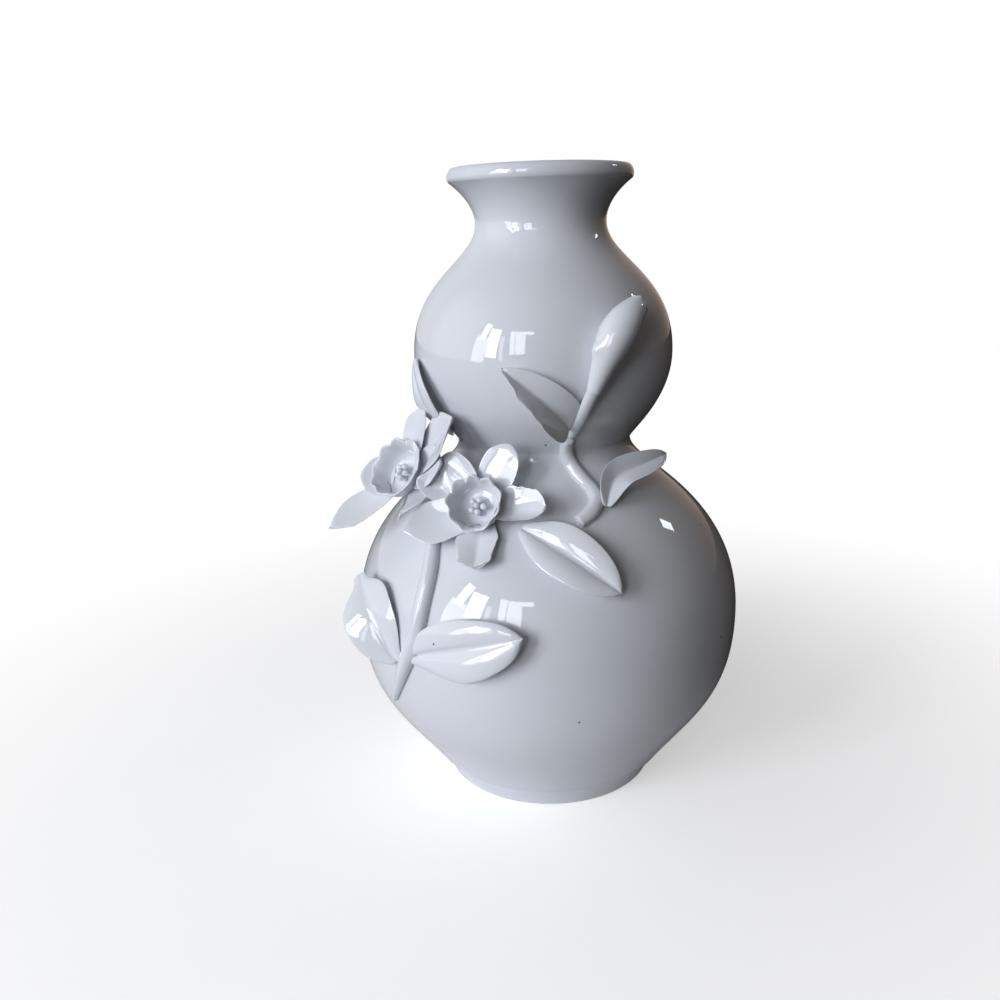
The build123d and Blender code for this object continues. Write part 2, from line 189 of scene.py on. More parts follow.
# the same stretch one wall further in: each control point moves along the mean normal of its two legs
def insideOf(points):
    legs = unit(np.diff(points, axis=0))
    normals = np.stack([-legs[:, 1], legs[:, 0]], -1)
    before, after = np.vstack([normals[:1], normals]), np.vstack([normals, normals[-1:]])
    return points + (before + after) * (vessel["wall"] / (1 + (before * after).sum(1, keepdims=True)))


# the outer side in fine steps, with its slope (change of radius over change of level)
spans = sideSpans()
fineSteps = vessel["steps"]["fine"]
sideLine = np.vstack([bezier(spans[0], fineSteps)] + [bezier(span, fineSteps)[1:] for span in spans[1:]])
sideSlope = np.gradient(sideLine[:, 0], sideLine[:, 1])


# radius of the glaze at a level, read off the side line
def wallRadius(level):
    return np.interp(level, sideLine[:, 1], sideLine[:, 0])


# unit vector straight out of the glaze: outwards by one, and down by the slope of the side
def wallNormal(azimuth, level):
    turn = np.radians(azimuth)
    return unit(np.stack([np.sin(turn), -np.cos(turn), -np.interp(level, sideLine[:, 1], sideSlope)], -1))


# points over the glaze: degrees round, share of the way up, stand off the glaze
def onWall(azimuth, share, stand):
    azimuth, share, stand = (np.asarray(value, float) for value in (azimuth, share, stand))
    waist, neck = vessel["levels"]["waist"], vessel["levels"]["neck"]
    level = np.where(share <= 1, share * waist, waist + (share - 1) * (neck - waist))
    radius, turn = wallRadius(level), np.radians(azimuth)
    foot = np.stack([radius * np.sin(turn), -radius * np.cos(turn), level], -1)
    return foot + wallNormal(azimuth, level) * stand[..., None]


# the same unit vector for points near the glaze
def normalAt(points):
    return wallNormal(np.degrees(np.arctan2(points[..., 0], -points[..., 1])), points[..., 2])


# points that would lie deeper than sink behind the glaze are brought straight out to that depth
def keepOut(points, sink=0.8):
    points = points.copy()
    radius = np.hypot(points[..., 0], points[..., 1])
    least = wallRadius(points[..., 2]) - sink
    deep = (radius < least) & (points[..., 2] < vessel["levels"]["lip"])
    points[..., :2] *= np.where(deep, least / np.maximum(radius, 0.01), 1)[..., None]
    return points


# whole side line: recess, foot ring, outside, lip, inside and floor
def vesselSide():
    ring, top, steps = vessel["footRing"], vessel["lipTop"], vessel["steps"]
    wall, rounding, inner, pole = vessel["wall"], ring["rounding"], ring["inner"], vessel["pole"]
    bore = ring["radius"] - ring["width"]
    lip, neck = spans[-1][3], spans[-1][0]
    crest = np.array([top["radius"], top["level"]])
    lipCurve = bezier((lip, lip + top["roll"], crest + (top["bulge"], 0), crest), steps["lip"])
    throat = (neck[0] - wall, neck[1])
    throatPull = (neck[0] - wall, neck[1] + top["innerShare"] * (lip[1] - neck[1]))
    mouth = bezier((crest, crest - (top["innerReach"], 0), throatPull, throat), steps["mouth"])
    inside = [bezier(insideOf(span)[::-1], steps["inside"])[1:] for span in spans[3::-1]]
    corner, middle, pull = inside[-1][-1], vessel["floorLevel"], vessel["floorPull"]
    inside[-1] = inside[-1][np.linalg.norm(inside[-1] - corner, axis=1) > vessel["floorRounding"]]
    start, floorEdge = inside[-1][-1], corner - (vessel["floorRounding"], 0)
    floorCurve = (start, start + (corner - start) * pull, floorEdge + (corner - floorEdge) * pull, floorEdge)
    parts = [
        np.array([(pole, ring["recess"]), (bore / 2, ring["recess"]), (bore - inner, ring["recess"])]),
        arc((bore - inner, ring["recess"] - inner), inner, 90, 0, 5),
        arc((bore + rounding, rounding), rounding, 180, 270, 7),
        arc((ring["radius"] - rounding, rounding), rounding, 270, 345, 7),
        np.array(ring["flank"]),
        np.vstack([bezier(span, steps["outside"])[1:] for span in spans]),
        lipCurve[1:],
        mouth[1:],
        *inside,
        bezier(floorCurve, steps["floor"])[1:],
        np.array([(corner[0] / 2, middle + vessel["floorRise"]), (pole, middle)]),
    ]
    return np.vstack(parts)


addMesh("vessel", lathe(vesselSide(), vessel["turns"]), "lower_bulb", "upper_bulb")
print("vessel done")


# frame along a path: the way travelled, to its right, and outwards. They are cross products of the way with
# the facing, turned by roll about the way
def carriage(path, facing, roll=0.0):
    along = unit(np.gradient(path, axis=0))
    across = unit(np.cross(along, facing))
    outwards = np.cross(across, along)
    turn = math.radians(roll)
    cosine, sine = math.cos(turn), math.sin(turn)
    return along, across * cosine - outwards * sine, outwards * cosine + across * sine


# stems: degrees round, share of the way up, share of the radius, stand off the glaze; a ridge or a fine
# raised line runs along them at an angle from their right side, as (angle, height, width)
stemForm = {"flat": 0.8, "rounded": 0.2, "rows": 150, "columns": 56}
stems = {
    "main_stem": {
        "radius": 2.7,
        "places": (
            (-41.0, 0.800, 0.85, 0.7), (-36.9, 0.732, 0.95, 0.7), (-36.5, 0.658, 1.0, 0.7),
            (-37.4, 0.580, 1.0, 0.7), (-40.7, 0.509, 0.95, 0.7), (-44.6, 0.438, 0.68, 0.7), (-51.0, 0.355, 0.4, 0.7),
        ),
        "ridges": ((1.75, 0.17, 0.45), (0.25, 0.10, 0.16)),
    },
    "curved_stem": {
        "radius": 2.2,
        "places": (
            (12.8, 1.085, 0.82, 0.5), (13.0, 1.030, 0.92, 0.5), (15.5, 0.981, 0.95, 0.5), (20.0, 0.939, 0.95, 0.5),
            (23.0, 0.913, 1.0, 0.5), (22.5, 0.889, 1.0, 0.5), (18.0, 0.868, 1.0, 0.5), (12.5, 0.853, 0.88, 0.5),
        ),
        "ridges": ((1.2, 0.06, 0.5), (0.35, 0.12, 0.14)),
    },
    "bud_stem": {
        "radius": 2.25,
        "places": (
            (13.2, 1.098, 0.55, 0.5), (15.6, 1.170, 0.82, 0.7), (17.4, 1.240, 0.85, 1.2), (19.8, 1.335, 0.88, 2.6),
        ),
        "ridges": ((2.2, 0.05, 0.6),),
    },
}


# closes both ends of a tube: the radius falls off as a quarter circle over a share of itself
def roundEnds(radii, places, length, share):
    start = np.clip(places * length / (radii[0] * share), 0, 1)
    end = np.clip((1 - places) * length / (radii[-1] * share), 0, 1)
    return radii * np.sqrt(1 - (1 - start) ** 2) * np.sqrt(1 - (1 - end) ** 2) + 0.02


# rolled coil: an oval carried along the path; each ridge falls off with the distance from its crest
def makeStem(name, shape):
    azimuth, share, width, stand = zip(*shape["places"])
    places = alongPiece(stemForm["rows"])
    path, knots = smoothPath(onWall(azimuth, share, stand), places)
    radii = splineAt(knots, np.multiply(width, shape["radius"]), places)[:, 0]
    radii = roundEnds(radii, places, pathLength(path), stemForm["rounded"])
    _, across, outwards = carriage(path, normalAt(path))
    angle = np.linspace(0, 2 * np.pi, stemForm["columns"], endpoint=False)
    swell = 1 + sum(height * np.exp(-np.abs(angle - crest) / spread) for crest, height, spread in shape["ridges"])
    grid = (
        path[:, None, :]
        + across[:, None, :] * (radii[:, None] * swell * np.cos(angle))[..., None]
        + outwards[:, None, :] * (radii[:, None] * swell * stemForm["flat"] * np.sin(angle))[..., None]
    )
    addMesh(name, keepOut(grid), name)


for name, shape in stems.items():
    makeStem(name, shape)

# bud: degrees round, share of the way up, stand off the glaze, radius; wrapped edges run up it as a slow
# spiral, a small bract swells on its left and its tip is torn
bud = {
    "places": (
        (19.2, 1.314, 2.4, 2.05), (22.6, 1.438, 3.8, 3.75), (26.9, 1.525, 4.8, 5.15),
        (32.5, 1.584, 5.6, 4.6), (39.3, 1.625, 6.0, 2.7),
    ),
    "wraps": 1, "wrapDepth": 0.05, "wrapFall": 9, "wrapFrom": 0.3, "twist": 0.5,
    "bract": {"along": 0.38, "angle": 3.0, "height": 0.24, "length": 0.06, "width": 0.40},
    "tear": 0.9, "tears": 5, "tearPower": 24,
    "rounded": 0.3, "rows": 160, "columns": 96,
}


# oval carried along the path: its radius is cut by a wrap that falls off exponentially with the turn, and
# raised by a bract that falls off as a bell both ways
def makeBud():
    azimuth, share, stand, width = zip(*bud["places"])
    places = alongPiece(bud["rows"])
    path, knots = smoothPath(onWall(azimuth, share, stand), places)
    radii = roundEnds(splineAt(knots, width, places)[:, 0], places, pathLength(path), bud["rounded"])
    u = places[:, None]
    angle = np.linspace(0, 2 * np.pi, bud["columns"], endpoint=False)[None, :]
    wrap = (angle * bud["wraps"] / (2 * np.pi) + bud["twist"] * u) % 1
    bract = bud["bract"]
    swell = bract["height"] * np.exp(
        -(((u - bract["along"]) / bract["length"]) ** 2) - ((angle - bract["angle"]) / bract["width"]) ** 2
    )
    cut = bud["wrapDepth"] * np.exp(-wrap * bud["wrapFall"]) * np.clip((u - bud["wrapFrom"]) * 4, 0, 1)
    radius = radii[:, None] * (1 - cut + swell)
    along, across, outwards = carriage(path, normalAt(path))
    torn = bud["tear"] * np.sin(bud["tears"] * angle) * np.sin(2 * angle + 1) * u ** bud["tearPower"]
    grid = (
        path[:, None, :]
        + across[:, None, :] * (radius * np.cos(angle))[..., None]
        + outwards[:, None, :] * (radius * np.sin(angle))[..., None]
        + along[:, None, :] * torn[..., None]
    )
    addMesh("bud", keepOut(grid), "bud")


makeBud()

# values that every leaf and petal may leave out: roll about the midrib; how rounded the crease is, from 1 for
# sharp to 2 for a bowl; crown of each wing; groove down the midrib and where it ends; curl and ragged edge of
# the left and right side; notch at the tip; shift of the widest place, above 1 towards the tip; width at the
# tip and the share of the length that is rounded; and slow sway of the edges. A pair of folds gives each wing
# its own.
plain = {
    "roll": 0, "crease": 1.0, "crown": 0.0, "groove": 0.0, "grooveEnd": 0.6, "curl": (0.0, 0.0),
    "ragged": (0.0, 0.0), "notch": 0.0, "shift": (1.0, 1.0), "tip": None, "round": 0.04, "sway": 0.0, "seed": 0.0,
}
# section and edges of every blade: points round it, how they bunch and how blunt its edge is, least width
# where it closes, thickness left at a narrow end, and the waves of a frayed edge as (waves, height, seeds)
bladeForm = {
    "columns": 80, "bunching": 0.8, "blunt": 0.55, "leastWidth": 0.03, "thinEnd": 0.4, "fullWidth": 0.8,
    "grooveWidth": 0.09, "notchWidth": 0.3, "swayWaves": 2.6,
    "frays": ((17, 1.0, 1), (31, 0.6, 2), (53, 0.45, 3)), "frayFrom": 0.25, "frayOut": 0.6, "frayLift": 0.25,
}


# leaf or petal: a flat closed loop is carried along the path and widened to the outline on each side. The
# wings rise by fold times distance from the midrib and by a crown, and the edges curl and fray
def blade(path, places, facing, outline, size, values):
    shape, form = {**plain, **values}, bladeForm
    knots, shares = (np.array(column, float) for column in zip(*outline))
    shares[-1] = shares[-1] if shape["tip"] is None else shape["tip"]
    least = form["leastWidth"]
    close = np.sqrt(1 - (1 - np.clip((1 - places) / shape["round"], 0, 1)) ** 2) * (1 - least) + least
    left, right = (np.maximum(splineAt(knots, shares, places**power)[:, 0], 0) * close for power in shape["shift"])
    angle = np.linspace(0, 2 * np.pi, form["columns"], endpoint=False)[None, :]
    side = np.sign(np.cos(angle)) * np.abs(np.cos(angle)) ** form["bunching"]
    spread, rightSide = np.abs(side), side > 0
    folds = shape["fold"] if isinstance(shape["fold"], tuple) else (shape["fold"], shape["fold"])
    pairs = (shape["wings"], folds, shape["curl"], shape["ragged"])
    wing, fold, curl, ragged = (np.where(rightSide, pair[1], pair[0]) for pair in pairs)
    reach = wing * size["halfWidth"]
    width = np.where(rightSide, right[:, None], left[:, None])
    u, seed = places[:, None], shape["seed"]
    fray = sum(height * np.sin(waves * u + seeds * seed) for waves, height, seeds in form["frays"])
    fray = fray * ragged * np.clip((u - form["frayFrom"]) * 3, 0, 1) * spread**6
    groove = np.exp(-((spread / form["grooveWidth"]) ** 2)) * np.clip(1 - u / shape["grooveEnd"], 0, 1) ** 0.7
    lift = (
        fold * size["halfWidth"] * width * spread ** shape["crease"]
        + shape["crown"] * size["halfWidth"] * width * 4 * spread * (1 - spread)
        - shape["groove"] * groove
        + curl * spread**3 * width
        + shape["sway"] * np.sin(form["swayWaves"] * np.pi * u + seed + 1.5 * rightSide) * spread**2 * width
        + form["frayLift"] * fray
    )
    narrow = np.minimum((left + right)[:, None] / form["fullWidth"], 1)
    half = size["edge"] / 2 + (size["thickness"] - size["edge"]) / 2 * (1 - spread**2)
    half = half * (form["thinEnd"] + (1 - form["thinEnd"]) * narrow)
    body = np.sign(np.sin(angle)) * np.abs(np.sin(angle)) ** form["blunt"] * half
    notch = shape["notch"] * np.exp(-((side / form["notchWidth"]) ** 2))
    tipward = (ragged * np.sin(13 * side + seed) - notch) * u**8
    along, across, outwards = carriage(path, facing, shape["roll"])
    return (
        path[:, None, :]
        + across[:, None, :] * (reach * width * side + np.sign(side) * fray * form["frayOut"])[..., None]
        + outwards[:, None, :] * (lift + body)[..., None]
        + along[:, None, :] * tipward[..., None]
    )


# leaves: places along the midrib as degrees round, share of the way up and stand off the glaze; left and
# right wings as shares of the half width, seen going from base to tip
leafSize = {"halfWidth": 9.0, "thickness": 1.8, "edge": 0.75, "rows": 120}
leafOutline = ((0.0, 0.24), (0.24, 0.82), (0.5, 1.0), (0.76, 0.78), (0.94, 0.34), (1.0, 0.10))
leaves = {
    "right_leaf": {
        "places": ((-39.5, 0.520, 0.6), (-21.8, 0.580, 2.6), (-5.6, 0.622, 5.2)),
        "wings": (0.98, 1.06), "fold": 0.10, "crown": 0.13, "shift": (0.95, 1.25), "tip": 0.04,
        "groove": 1.5, "grooveEnd": 0.75, "sway": 0.3, "seed": 0.4,
    },
    "left_leaf": {
        "places": ((-45.2, 0.489, 0.6), (-52.2, 0.589, 3.5), (-63.3, 0.665, 5.0)),
        "wings": (1.08, 0.90), "fold": 0.22, "crown": 0.03, "roll": 28, "crease": 1.3,
        "groove": 0.9, "shift": (0.85, 1.15), "tip": 0.50, "round": 0.16, "seed": 1.9,
    },
    "lower_leaf": {
        "places": ((-8.4, 0.842, 0.5), (6.7, 0.785, 2.0), (19.6, 0.700, 4.0)),
        "wings": (0.86, 0.92), "fold": (0.34, 0.22), "crown": 0.07, "curl": (0.3, -0.3),
        "groove": 0.5, "grooveEnd": 0.9, "sway": 0.25, "seed": 0.0,
    },
    "upper_leaf": {
        "places": ((11.6, 1.150, 0.6), (-1.0, 1.290, 1.6), (-14.6, 1.420, 3.4)),
        "wings": (0.27, 0.84), "fold": (0.95, 0.0), "crown": 0.03, "shift": (0.6, 0.62),
        "ragged": (0.50, 0.0), "seed": 2.2,
    },
    "shoulder_leaf": {
        "places": ((25.7, 0.876, 0.6), (33.8, 0.916, 3.0), (44.0, 0.921, 5.0), (63.3, 0.914, 10.0)),
        "wings": (0.50, 0.52), "fold": 0.34, "crown": 0.05, "crease": 1.4, "curl": (0.5, 0.5), "tip": 0.03,
        "shift": (0.8, 0.8), "seed": 0.8,
    },
    "back_leaf": {
        "places": ((-62.0, 1.080, 1.0), (-58.0, 1.270, 3.0), (-68.0, 1.420, 0.9)),
        "wings": (0.70, 0.70), "fold": 0.10, "crown": 0.10, "groove": 0.3, "seed": 0.5,
    },
}


# a blade along a smooth path over the glaze, facing straight out of it
def makeLeaf(name, shape):
    azimuth, share, stand = zip(*shape["places"])
    places = alongPiece(leafSize["rows"])
    path, _ = smoothPath(onWall(azimuth, share, stand), places)
    addMesh(name, keepOut(blade(path, places, normalAt(path), leafOutline, leafSize, shape)), name)


for name, shape in leaves.items():
    makeLeaf(name, shape)
print("stems, bud and leaves done")

# petals: turn round the flower's axis, level at the cup, reach and height of the tip in millimetres; they
# start this far from the axis in a cup with this rim, further out by a share of the level and of a wider rim
petalSize = {
    "halfWidth": 7.0, "thickness": 1.4, "edge": 0.65, "rows": 96,
    "start": 4.1, "startRim": 8.0, "byLevel": 2 / 3, "byRim": 0.7,
}
petalOutline = ((0.0, 0.36), (0.32, 0.82), (0.62, 1.0), (0.87, 0.80), (1.0, 0.32))
flowers = {
    "front": {
        "place": (-26.5, 0.872, 0.5), "facing": (-14.0, 33.0),
        "petals": (
            {"turn": 66, "level": 1.5, "reach": 20.4, "tipLevel": 7.0, "wings": (0.86, 0.86), "fold": 0.14,
             "crease": 2.0, "tip": 0.55, "round": 0.22, "arch": 0.8, "seed": 1.0},
            {"turn": 134, "level": 3.0, "reach": 19.4, "tipLevel": 5.6, "wings": (0.95, 0.90), "fold": (-0.30, 0.42),
             "crease": 2.0, "tip": 0.62, "round": 0.14, "notch": 2.6, "arch": 1.2, "seed": 2.0},
            {"turn": 160, "level": 1.5, "reach": 20.8, "tipLevel": 6.3, "wings": (0.55, 0.55), "fold": 0.20,
             "crease": 1.4, "crown": 0.02, "seed": 3.0},
            {"turn": -157, "level": 3.0, "reach": 23.4, "tipLevel": 5.9, "wings": (1.00, 0.85), "fold": 0.26,
             "crease": 1.6, "tip": 0.03, "shift": (0.55, 0.6), "sway": 0.5, "seed": 4.0},
            {"turn": -82, "level": 1.5, "reach": 19.2, "tipLevel": 7.5, "wings": (0.88, 0.88), "fold": 0.30,
             "crease": 1.25, "crown": 0.02, "tip": 0.78, "round": 0.06, "ragged": (0.20, 0.25), "seed": 5.0},
            {"turn": -1, "level": 3.0, "reach": 20.6, "tipLevel": 5.8, "wings": (0.95, 0.66), "fold": (0.30, 0.60),
             "crease": 2.2, "tip": 0.66, "round": 0.07, "ragged": (0.40, 0.2), "curl": (0.0, 0.6),
             "seed": 6.0},
        ),
        "cup": {"rim": 8.0, "foot": 8.0, "flare": (-110, 0.5, 1.0), "lobed": (95, 65), "seed": 3},
    },
    "side": {
        "place": (-62.5, 0.878, 8.0), "facing": (-48.0, 30.0),
        "petals": (
            {"turn": -121, "level": 3.0, "reach": 28.4, "tipLevel": 12.4, "wings": (0.80, 0.85), "fold": 0.26,
             "crease": 1.5, "tip": 0.08, "ragged": (0.4, 0.0), "shift": (0.8, 0.8), "seed": 1.5},
            {"turn": -42, "level": 1.5, "reach": 18.2, "tipLevel": 9.4, "wings": (1.00, 1.00), "fold": -0.30,
             "tip": 0.60, "round": 0.16, "ragged": (0.10, 0.1), "seed": 2.5},
            {"turn": 18, "level": 3.0, "reach": 18.6, "tipLevel": 5.6, "wings": (1.00, 1.00), "fold": 0.20,
             "crease": 1.8, "tip": 0.5, "round": 0.15, "seed": 3.5},
            {"turn": 48, "level": 1.5, "reach": 26.6, "tipLevel": 8.0, "wings": (1.00, 1.20), "fold": (0.30, 0.50),
             "crown": 0.02, "tip": 0.03, "sway": 0.4, "seed": 4.5},
            {"turn": 85, "level": 3.0, "reach": 20.4, "tipLevel": 7.4, "wings": (0.80, 0.80), "fold": 0.18,
             "crease": 2.0, "tip": 0.5, "round": 0.18, "arch": 0.8, "seed": 5.5},
            {"turn": -160, "level": 1.5, "reach": 15.2, "tipLevel": 9.2, "wings": (0.95, 0.95), "fold": 0.16,
             "crease": 2.0, "tip": 0.5, "round": 0.18, "seed": 6.5},
        ),
        "cup": {"rim": 9.0, "foot": 16.0, "flare": (25, 1.6, 1.1), "lobed": (70, 60), "seed": 8},
    },
}


# sideways, up and axis of what faces an azimuth and elevation in radians: the axis is the azimuth's sine and
# cosine with the elevation's tangent, and up is the cross product of axis and sideways
def directions(azimuth, elevation):
    axis = np.array([math.sin(azimuth), -math.cos(azimuth), math.tan(elevation)]) * math.cos(elevation)
    sideways = np.array([math.cos(azimuth), math.sin(azimuth), 0])
    return sideways, np.cross(axis, sideways), axis


# flower frame: middle of the petals' level, sideways, up and along the flower's axis
def flowerFrame(flower):
    return onWall(*flower["place"]), *directions(*np.radians(flower["facing"]))


# rows of local points (sideways, up, along the axis) to places on the vase
def placed(local, place):
    middle, sideways, up, axis = place
    return middle + local[..., :1] * sideways + local[..., 1:2] * up + local[..., 2:3] * axis


# petal: it starts inside the cup's wall, which widens with the level there. Its midrib leaves the cup flat
# and rises to the tip as the square of the way, or by arch towards an even step (three squares less two
# cubes) that is flat again at the tip
def makePetal(name, place, rim, shape):
    turn = math.radians(shape["turn"])
    further = petalSize["byLevel"] * shape["level"] + petalSize["byRim"] * (rim - petalSize["startRim"])
    start = (petalSize["start"] + further) / shape["reach"]
    places = start + (1 - start) * alongPiece(petalSize["rows"])
    out = places * shape["reach"]
    climb = places**2 + shape.get("arch", 0) * (2 * places**2 - 2 * places**3)
    up = shape["level"] + (shape["tipLevel"] - shape["level"]) * climb
    path = placed(np.stack([out * math.cos(turn), out * math.sin(turn), up], 1), place)
    facing = np.broadcast_to(place[3], path.shape)
    addMesh(name, keepOut(blade(path, places, facing, petalOutline, petalSize, shape)), name)


# trumpet of a daffodil: depth, radius where it leaves the petals, wall at its floor and at its thin rim,
# floor level, radii left at its two poles, how deep it may sink into the vase, walls by which the inside is drawn
# in, and the share of the foot within which nothing flares; lobes round the rim are cut this deep, at least by a
# share of it all round, and waved this much in and out; the rim drops where it flares
cup = {
    "depth": 9.5, "foot": 3.4, "wall": 1.2, "rimWall": 0.8, "floor": 2.4, "poles": (0.3, 0.2), "sink": 1.5,
    "drawnIn": 1.6, "still": 0.6,
    "lobes": 9, "lobeDepth": 1.5, "leastLobe": 0.2, "flute": 0.30, "uneven": 0.30, "flip": 0.3, "flareDrop": 0.9,
    "turns": 288, "steps": 44,
}


# bell round a direction: exponential of minus the square of the angle from it over its spread
def bell(angle, middle, spread):
    return np.exp(-((np.angle(np.exp(1j * (angle - middle))) / spread) ** 2))


# a side line turned round the flower's axis. Towards the rim the wall flares, most at one side, and is
# fluted and cut into lobes: the level drops by depth times one minus the absolute cosine of half the lobes
def makeCup(name, place, shape):
    rim, depth, foot, wall = shape["rim"], cup["depth"], cup["foot"], cup["wall"]
    thin, bottom, steps = cup["rimWall"], cup["floor"], cup["steps"]
    outer = bezier(((foot, 0), (rim, depth / 5), (rim - wall, depth * 3 / 5), (rim, depth)), steps)
    drawnIn = (rim - cup["drawnIn"] * wall, depth * 3 / 5)
    inner = bezier(((rim - thin, depth), drawnIn, (rim - wall, bottom), (foot, bottom)), steps)
    stalk = np.stack([np.full(12, foot), np.linspace(-shape["foot"], 0, 12)], -1)
    crest = arc((rim - thin / 2, depth), thin / 2, 0, 180, 7)
    floor = [(foot / 2, bottom), (cup["poles"][1], bottom)]
    profile = np.vstack([[(cup["poles"][0], -shape["foot"])], stalk[:-1], outer, crest[1:-1], inner, floor])
    angle = np.linspace(0, 2 * np.pi, cup["turns"], endpoint=False)
    rise = np.clip(profile[:, 1:] / depth, 0, 1.1)
    side, amount, spread = shape["flare"]
    toward = bell(angle, math.radians(side), spread)
    lobes = cup["lobes"] * angle + shape["seed"]
    uneven = cup["uneven"] * (np.sin(2 * angle + shape["seed"]) + np.sin(3 * angle + 2.1 * shape["seed"]))
    wider = cup["flip"] + amount * toward + cup["flute"] * np.cos(lobes) + uneven
    lobed = cup["leastLobe"] + (1 - cup["leastLobe"]) * bell(angle, *np.radians(shape["lobed"]))
    lower = lobed * cup["lobeDepth"] * (1 - np.abs(np.cos(lobes / 2))) * rise**8
    lower = lower + (uneven + cup["flareDrop"] * toward * amount) * rise**5
    radius = profile[:, :1] + wider * rise**4 * (profile[:, :1] > foot * cup["still"])
    grid = np.stack([radius * np.cos(angle), radius * np.sin(angle), profile[:, 1:] - lower], -1)
    addMesh(name, keepOut(placed(grid, place), cup["sink"]), name)


# in the middle of the cup: a pistil, its neck thinner by this share up to this share of its length, and
# stamens on a circle round it, unevenly spaced
centre = {
    "pistilRadius": 0.9, "pistilLength": 4.4, "neck": 0.8, "neckShare": 0.6, "pole": 0.05,
    "stamens": 5, "stamenRadius": 0.5, "stamenLength": 2.6, "stamenCircle": 1.9, "antherRadius": 1.0, "uneven": 0.2,
}


# pistil: a stalk with a rounded head; stamens: thin stalks with round anthers round it
def makeCentre(side, place):
    floor, radius, length = cup["floor"], centre["pistilRadius"], centre["pistilLength"]
    pole, neck = centre["pole"], radius * centre["neck"]
    stalk = [(pole, floor), (neck, floor), (neck, floor + length * centre["neckShare"])]
    head = arc((0.0, floor + length - radius), radius, 0, 88, 9)
    addMesh(side + "_pistil", placed(lathe(np.vstack([stalk, head]), 32), place), side + "_pistil")
    thick, anther, tall = centre["stamenRadius"], centre["antherRadius"], centre["stamenLength"]
    stalk = [(pole, floor), (thick, floor), (thick, floor + tall - anther)]
    shape = lathe(np.vstack([stalk, arc((0.0, floor + tall), anther, -55, 88, 12)]), 28)
    for number in range(centre["stamens"]):
        turn = 2 * math.pi * (number + centre["uneven"] * math.sin(3 * number)) / centre["stamens"]
        offset = np.array([math.cos(turn), math.sin(turn), 0]) * centre["stamenCircle"]
        nodes = [side + "_stamens"] if number == 0 else []
        addMesh(f"{side}_stamen_{number + 1}", placed(shape + offset, place), *nodes)


for side, flower in flowers.items():
    place = flowerFrame(flower)
    makeCup(side + "_cup", place, flower["cup"])
    for number, petal in enumerate(flower["petals"], 1):
        makePetal(f"{side}_petal_{number}", place, flower["cup"]["rim"], petal)
    makeCentre(side, place)
print("flowers done")


# sRGB hex to linear colour: the standard curve, a straight foot and above it a power of 2.4
def linear(hexValue):
    parts = [int(hexValue[index:index + 2], 16) / 255 for index in (1, 3, 5)]
    return [part / 12.92 if part <= 0.04045 else ((part + 0.055) / 1.055) ** 2.4 for part in parts] + [1.0]


# adds a node with its settings and links: values by socket, a pair (node, socket) makes a link
def addNode(tree, kind, settings=None, inputs=None):
    node = tree.nodes.new(kind)
    for key, value in (settings or {}).items():
        setattr(node, key, value)
    for key, value in (inputs or {}).items():
        if isinstance(value, tuple) and isinstance(value[0], bpy.types.Node):
            tree.links.new(value[0].outputs[value[1]], node.inputs[key])
        else:
            node.inputs[key].default_value = value
    return node


# a material with an empty node tree
def emptyMaterial(name):
    material = bpy.data.materials.new(name)
    material.use_nodes = True
    material.node_tree.nodes.clear()
    return material, material.node_tree


# scale of a pattern that repeats every size millimetres: a metre over that size
def perMetre(size):
    return 1000 / size


# glaze tones, thin and pooled, of the vessel and of the applied pieces, whose pair is painted lighter:
# painted light for the extra light that the raised pieces catch; sizes in millimetres
glaze = {
    "vessel": ("#DFE1E4", "#CDD1D7"), "applied": ("#E3E5E8", "#D2D6DC"), "speck": "#5A5650",
    "roughness": 0.035, "ior": 1.52, "cloudSize": 60.0, "waveSize": 9.0, "waveHeight": 0.05,
    "speckSpacing": 16.0, "speckSize": 0.35, "speckShift": (0.009, 0.003, 0.013),
}


# Feldspathic porcelain glaze, fired glossy over a white body: a cool white with a faint blue-grey cast where
# it pools, a slow waviness from brushing and dipping, and a few iron specks. The applied pieces get a lighter
# copy of it: painted light, standing in for the extra light that falls on them where they stand out.
def glazedPorcelain(name, colours):
    material, tree = emptyMaterial(name)
    place = addNode(tree, "ShaderNodeTexCoord")
    cloud = addNode(tree, "ShaderNodeTexNoise", None,
                    {"Vector": (place, "Object"), "Scale": perMetre(glaze["cloudSize"]), "Detail": 2.0})
    tone = addNode(tree, "ShaderNodeMix", {"data_type": "RGBA"},
                   {0: (cloud, "Fac"), 6: linear(colours[0]), 7: linear(colours[1])})
    moved = addNode(tree, "ShaderNodeMapping", None, {"Vector": (place, "Object"), "Location": glaze["speckShift"]})
    cells = addNode(tree, "ShaderNodeTexVoronoi", {"feature": "F1"},
                    {"Vector": (moved, 0), "Scale": perMetre(glaze["speckSpacing"])})
    speck = addNode(tree, "ShaderNodeMath", {"operation": "LESS_THAN"},
                    {0: (cells, "Distance"), 1: glaze["speckSize"] / glaze["speckSpacing"]})
    colour = addNode(tree, "ShaderNodeMix", {"data_type": "RGBA"},
                     {0: (speck, 0), 6: (tone, 2), 7: linear(glaze["speck"])})
    wave = addNode(tree, "ShaderNodeTexNoise", None,
                   {"Vector": (place, "Object"), "Scale": perMetre(glaze["waveSize"]), "Detail": 1.0})
    bump = addNode(tree, "ShaderNodeBump", None,
                   {"Height": (wave, "Fac"), "Strength": 1.0, "Distance": glaze["waveHeight"] * millimetre})
    shader = addNode(tree, "ShaderNodeBsdfPrincipled", None, {
        "Base Color": (colour, 2), "Roughness": glaze["roughness"], "IOR": glaze["ior"], "Normal": (bump, 0),
    })
    addNode(tree, "ShaderNodeOutputMaterial", None, {"Surface": (shader, 0)})
    return material
